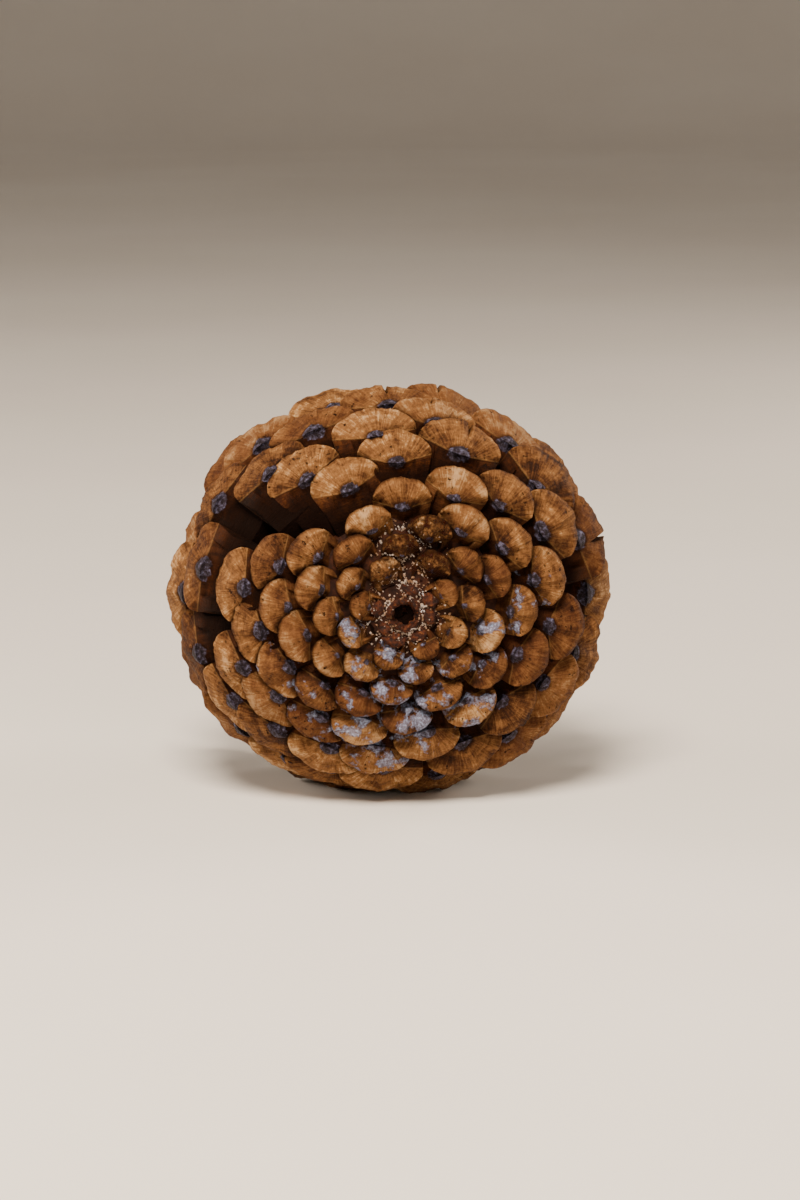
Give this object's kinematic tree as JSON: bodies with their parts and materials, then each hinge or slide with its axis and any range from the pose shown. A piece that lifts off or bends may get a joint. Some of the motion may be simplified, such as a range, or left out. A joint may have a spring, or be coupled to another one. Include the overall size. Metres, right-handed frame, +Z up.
{
  "type": "pine cone",
  "caption": "Open woody pine cone lying on its side: spiralling thick-tipped scales round a central axis, rounded stalk end, tapering tip.",
  "frame": {"origin": "below the middle of the cone, on the surface that it lies on", "axes": "+Y along the cone from the stalk end to the tip, +Z up, +X to the right of someone who faces the stalk end"},
  "size_m": [0.0726, 0.0826, 0.0662],
  "materials": {
    "cone_wood": "dry weathered scale wood"
  },
  "bodies": {
    "root": {"pine_cone": "cone_wood"}
  },
  "joints": []
}
